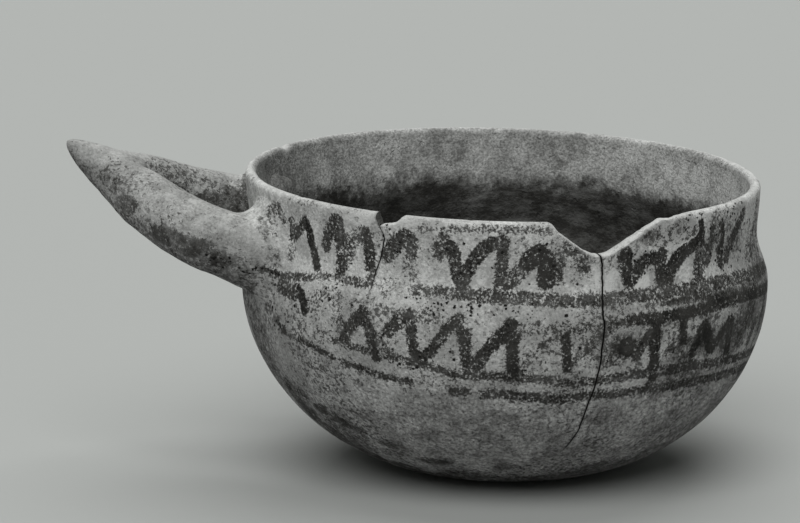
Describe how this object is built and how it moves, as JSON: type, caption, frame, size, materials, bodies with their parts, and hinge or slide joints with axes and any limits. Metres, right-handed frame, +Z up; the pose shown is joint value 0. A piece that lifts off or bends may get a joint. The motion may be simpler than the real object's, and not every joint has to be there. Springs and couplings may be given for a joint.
{
  "type": "handled bowl",
  "caption": "Round-bottomed hand-built pottery bowl with a wishbone handle ending in a horn, painted zigzag bands, a broken rim and a mended sherd.",
  "frame": {"origin": "middle of the worn flat that the bowl rests on", "axes": "+Z up through the bowl, the handle points along -X, -Y is the side with the broken rim and the mended sherd"},
  "size_m": [0.2165, 0.163, 0.1027],
  "materials": {
    "painted_slip": "hand-smoothed fired clay with a pale matt slip, dark matt painted bands, worn and pitted",
    "handle_slip": "hand-smoothed fired clay with a pale matt slip, soil-stained underneath",
    "inner_clay": "rough unslipped fired clay"
  },
  "bodies": {
    "root": {"bowl_wall": "painted_slip", "front_sherd": "painted_slip", "wishbone_handle": "handle_slip", "near_root_collar": "handle_slip", "far_root_collar": "handle_slip", "near_tenon_patch": "inner_clay", "far_tenon_patch": "inner_clay"}
  },
  "joints": []
}
